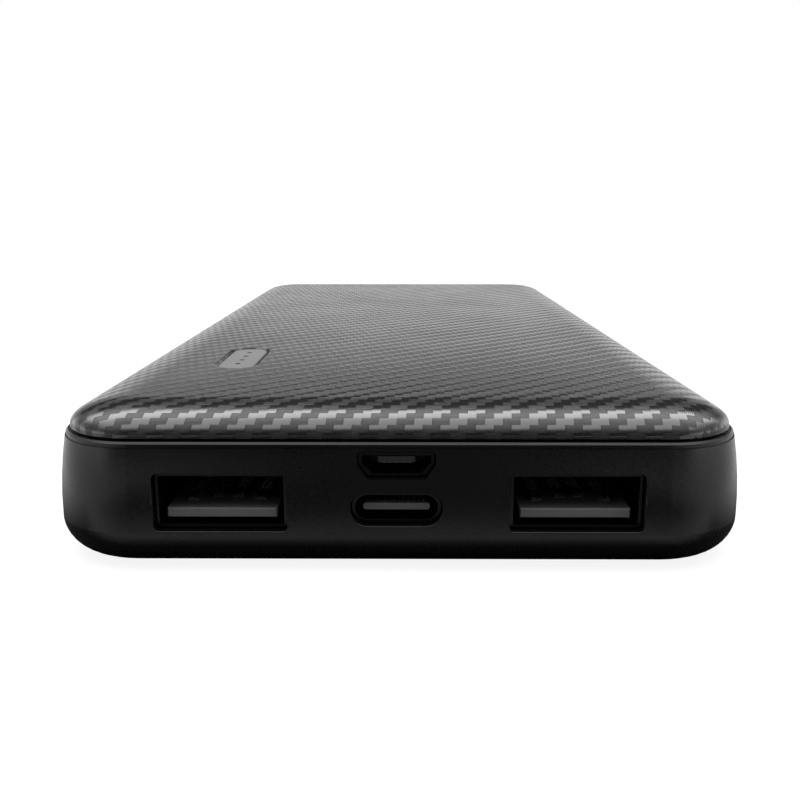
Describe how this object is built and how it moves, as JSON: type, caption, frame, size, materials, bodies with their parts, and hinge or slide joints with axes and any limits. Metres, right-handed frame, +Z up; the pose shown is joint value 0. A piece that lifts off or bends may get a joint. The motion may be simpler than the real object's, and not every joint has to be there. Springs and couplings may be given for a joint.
{
  "type": "power bank",
  "caption": "Slim rounded power bank with a woven-look cover, a long push button with lamp pinholes, and USB-A, USB-C and micro-USB sockets in one end.",
  "frame": {"origin": "centre of the case's footprint, on the plane of its flat base", "axes": "+Z up out of the cover, -Y out of the socket face, +X to the right seen from the socket face"},
  "size_m": [0.0728, 0.1496, 0.0163],
  "materials": {
    "case_black": "satin",
    "cover_weave": "printed carbon weave under a satin lacquer",
    "button_grey": "satin",
    "clear_plastic": "frosted clear",
    "lamp_white": "glossy",
    "part_black": "matt moulded",
    "tin_plate": "tinned",
    "socket_steel": "dark plated",
    "socket_plastic": "matt moulded",
    "contact_nickel": "nickel plated",
    "circuit_board": "satin solder mask",
    "ferrite": "matt",
    "ceramic_tan": "matt",
    "screw_steel": "zinc plated",
    "cell_foil": "satin foil",
    "tape_white": "matt",
    "foam_grey": "matt foam",
    "lead_black": "silicone",
    "lead_red": "silicone"
  },
  "bodies": {
    "case": {"battery_cell_lower": "cell_foil", "battery_cell_upper": "cell_foil", "board_screws": "screw_steel", "capacitors": "ceramic_tan", "cell_spacer": "tape_white", "cell_tabs": "tin_plate", "controller_chip": "part_black", "controller_legs": "tin_plate", "floor_tape": "tape_white", "indicator_lamps": "lamp_white", "light_guide": "clear_plastic", "lower_shell": "case_black", "main_board": "circuit_board", "micro_usb_contacts": "contact_nickel", "micro_usb_shell": "socket_steel", "micro_usb_tongue": "part_black", "negative_lead": "lead_black", "positive_lead": "lead_red", "power_chip": "part_black", "power_inductor": "ferrite", "protection_board": "circuit_board", "resistors": "part_black", "switch_body": "part_black", "switch_terminals": "tin_plate", "top_cover": "cover_weave", "top_foam": "foam_grey", "usb_a_left_contacts": "contact_nickel", "usb_a_left_shell": "socket_steel", "usb_a_left_tongue": "socket_plastic", "usb_a_right_contacts": "contact_nickel", "usb_a_right_shell": "socket_steel", "usb_a_right_tongue": "socket_plastic", "usb_c_contacts": "contact_nickel", "usb_c_shell": "socket_steel", "usb_c_tongue": "socket_plastic"},
    "button": {"power_button": "button_grey"},
    "plunger": {"switch_plunger": "part_black"}
  },
  "joints": [
    {"name": "button_press", "type": "slide", "parent": "case", "child": "button", "axis": [0, 0, -1], "range_m": [0, 0.0003], "stiffness_N_per_m": 400, "springref_m": -0.001},
    {"name": "plunger_press", "type": "slide", "parent": "case", "child": "plunger", "axis": [0, 0, -1], "range_m": [0, 0.0003]}
  ],
  "couplings": [
    {"joint": "plunger_press", "follows": "button_press", "ratio": 1}
  ]
}
